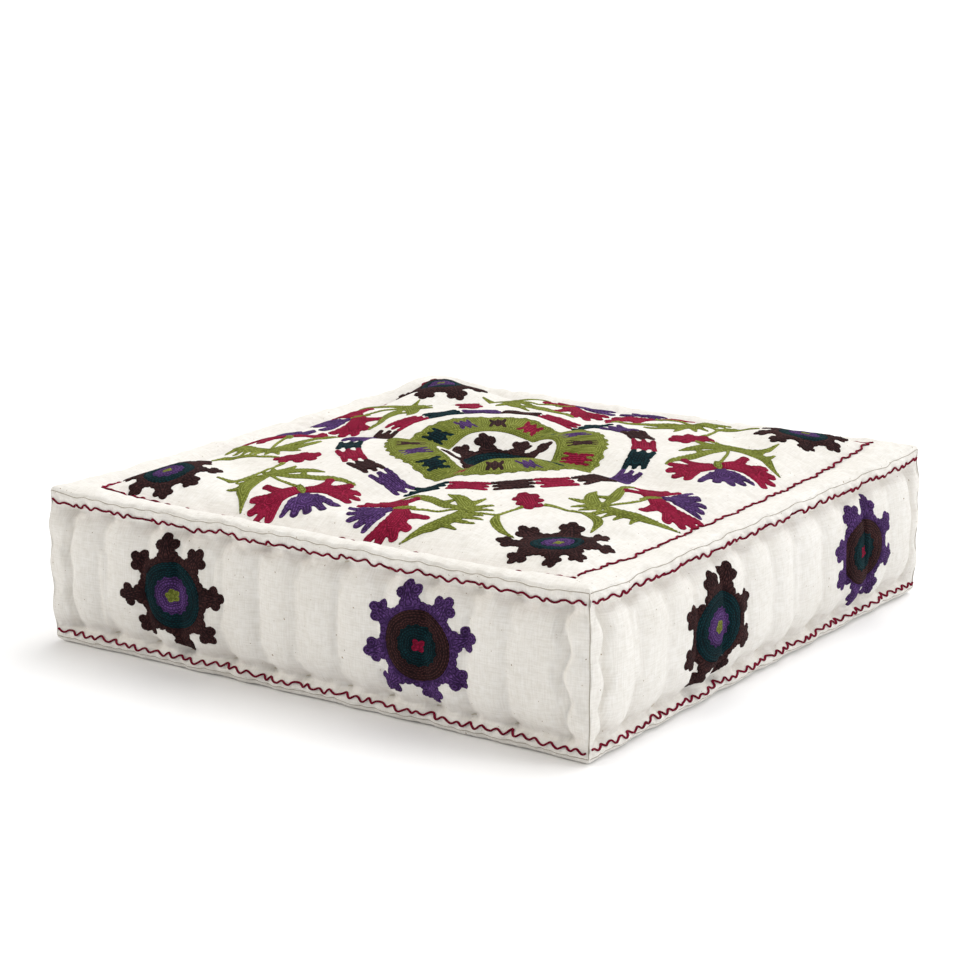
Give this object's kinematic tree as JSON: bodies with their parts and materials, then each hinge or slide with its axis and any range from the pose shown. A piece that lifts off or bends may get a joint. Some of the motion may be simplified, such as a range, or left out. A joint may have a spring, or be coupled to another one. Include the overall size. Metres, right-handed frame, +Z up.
{
  "type": "floor cushion",
  "caption": "Square boxed floor cushion with hand-rolled edges, a deep centre tuft and coloured wool embroidery.",
  "frame": {"origin": "middle of the footprint, on the floor", "axes": "+Z up through the centre tuft, +X and +Y square to the side panels; the front panel faces -Y"},
  "size_m": [0.6024, 0.6024, 0.1712],
  "materials": {
    "canvas": "plain-weave unbleached cotton canvas, matt, with small dark flecks",
    "cotton_filling": "loose cotton wadding, matt",
    "twine": "waxed cotton twine",
    "tuft_cotton": "tied cotton tuft, matt and fluffy",
    "stitching_thread": "thick stitched thread, slight sheen",
    "yarn_brown": "two-ply wool yarn in close chain stitch",
    "yarn_teal": "two-ply wool yarn in close chain stitch",
    "yarn_purple": "two-ply wool yarn in close chain stitch",
    "yarn_green": "two-ply wool yarn in close chain stitch",
    "yarn_red": "two-ply wool yarn in close chain stitch"
  },
  "bodies": {
    "root": {"bottom_panel": "canvas", "top_panel": "canvas", "front_panel": "canvas", "right_panel": "canvas", "back_panel": "canvas", "left_panel": "canvas", "top_roll_front": "canvas", "top_roll_right": "canvas", "top_roll_back": "canvas", "top_roll_left": "canvas", "bottom_roll_front": "canvas", "bottom_roll_right": "canvas", "bottom_roll_back": "canvas", "bottom_roll_left": "canvas", "corner_roll_front_left": "canvas", "corner_roll_front_right": "canvas", "corner_roll_back_right": "canvas", "corner_roll_back_left": "canvas", "filling": "cotton_filling", "tuft_twine": "twine", "top_tuft": "tuft_cotton", "bottom_tuft": "tuft_cotton", "top_wave_front": "stitching_thread", "top_wave_right": "stitching_thread", "top_wave_back": "stitching_thread", "top_wave_left": "stitching_thread", "side_waves_front": "stitching_thread", "side_waves_right": "stitching_thread", "side_waves_back": "stitching_thread", "side_waves_left": "stitching_thread", "side_stars_brown": "yarn_brown", "side_discs_teal": "yarn_teal", "side_rings_purple": "yarn_purple", "side_centres_green": "yarn_green", "side_stars_purple": "yarn_purple", "side_discs_brown": "yarn_brown", "side_rings_teal": "yarn_teal", "side_centres_red": "yarn_red", "corner_stars": "yarn_brown", "corner_discs": "yarn_teal", "corner_rings": "yarn_purple", "corner_centres": "yarn_green", "centre_star": "yarn_brown", "centre_disc": "yarn_teal", "centre_ring": "yarn_purple", "wide_ring": "yarn_green", "bows_teal": "yarn_teal", "bows_purple": "yarn_purple", "bows_brown": "yarn_brown", "bows_red": "yarn_red", "links_teal": "yarn_teal", "links_purple": "yarn_purple", "links_brown": "yarn_brown", "links_red": "yarn_red", "stems_and_leaves": "yarn_green", "petals_red": "yarn_red", "petals_purple": "yarn_purple"}
  },
  "joints": []
}
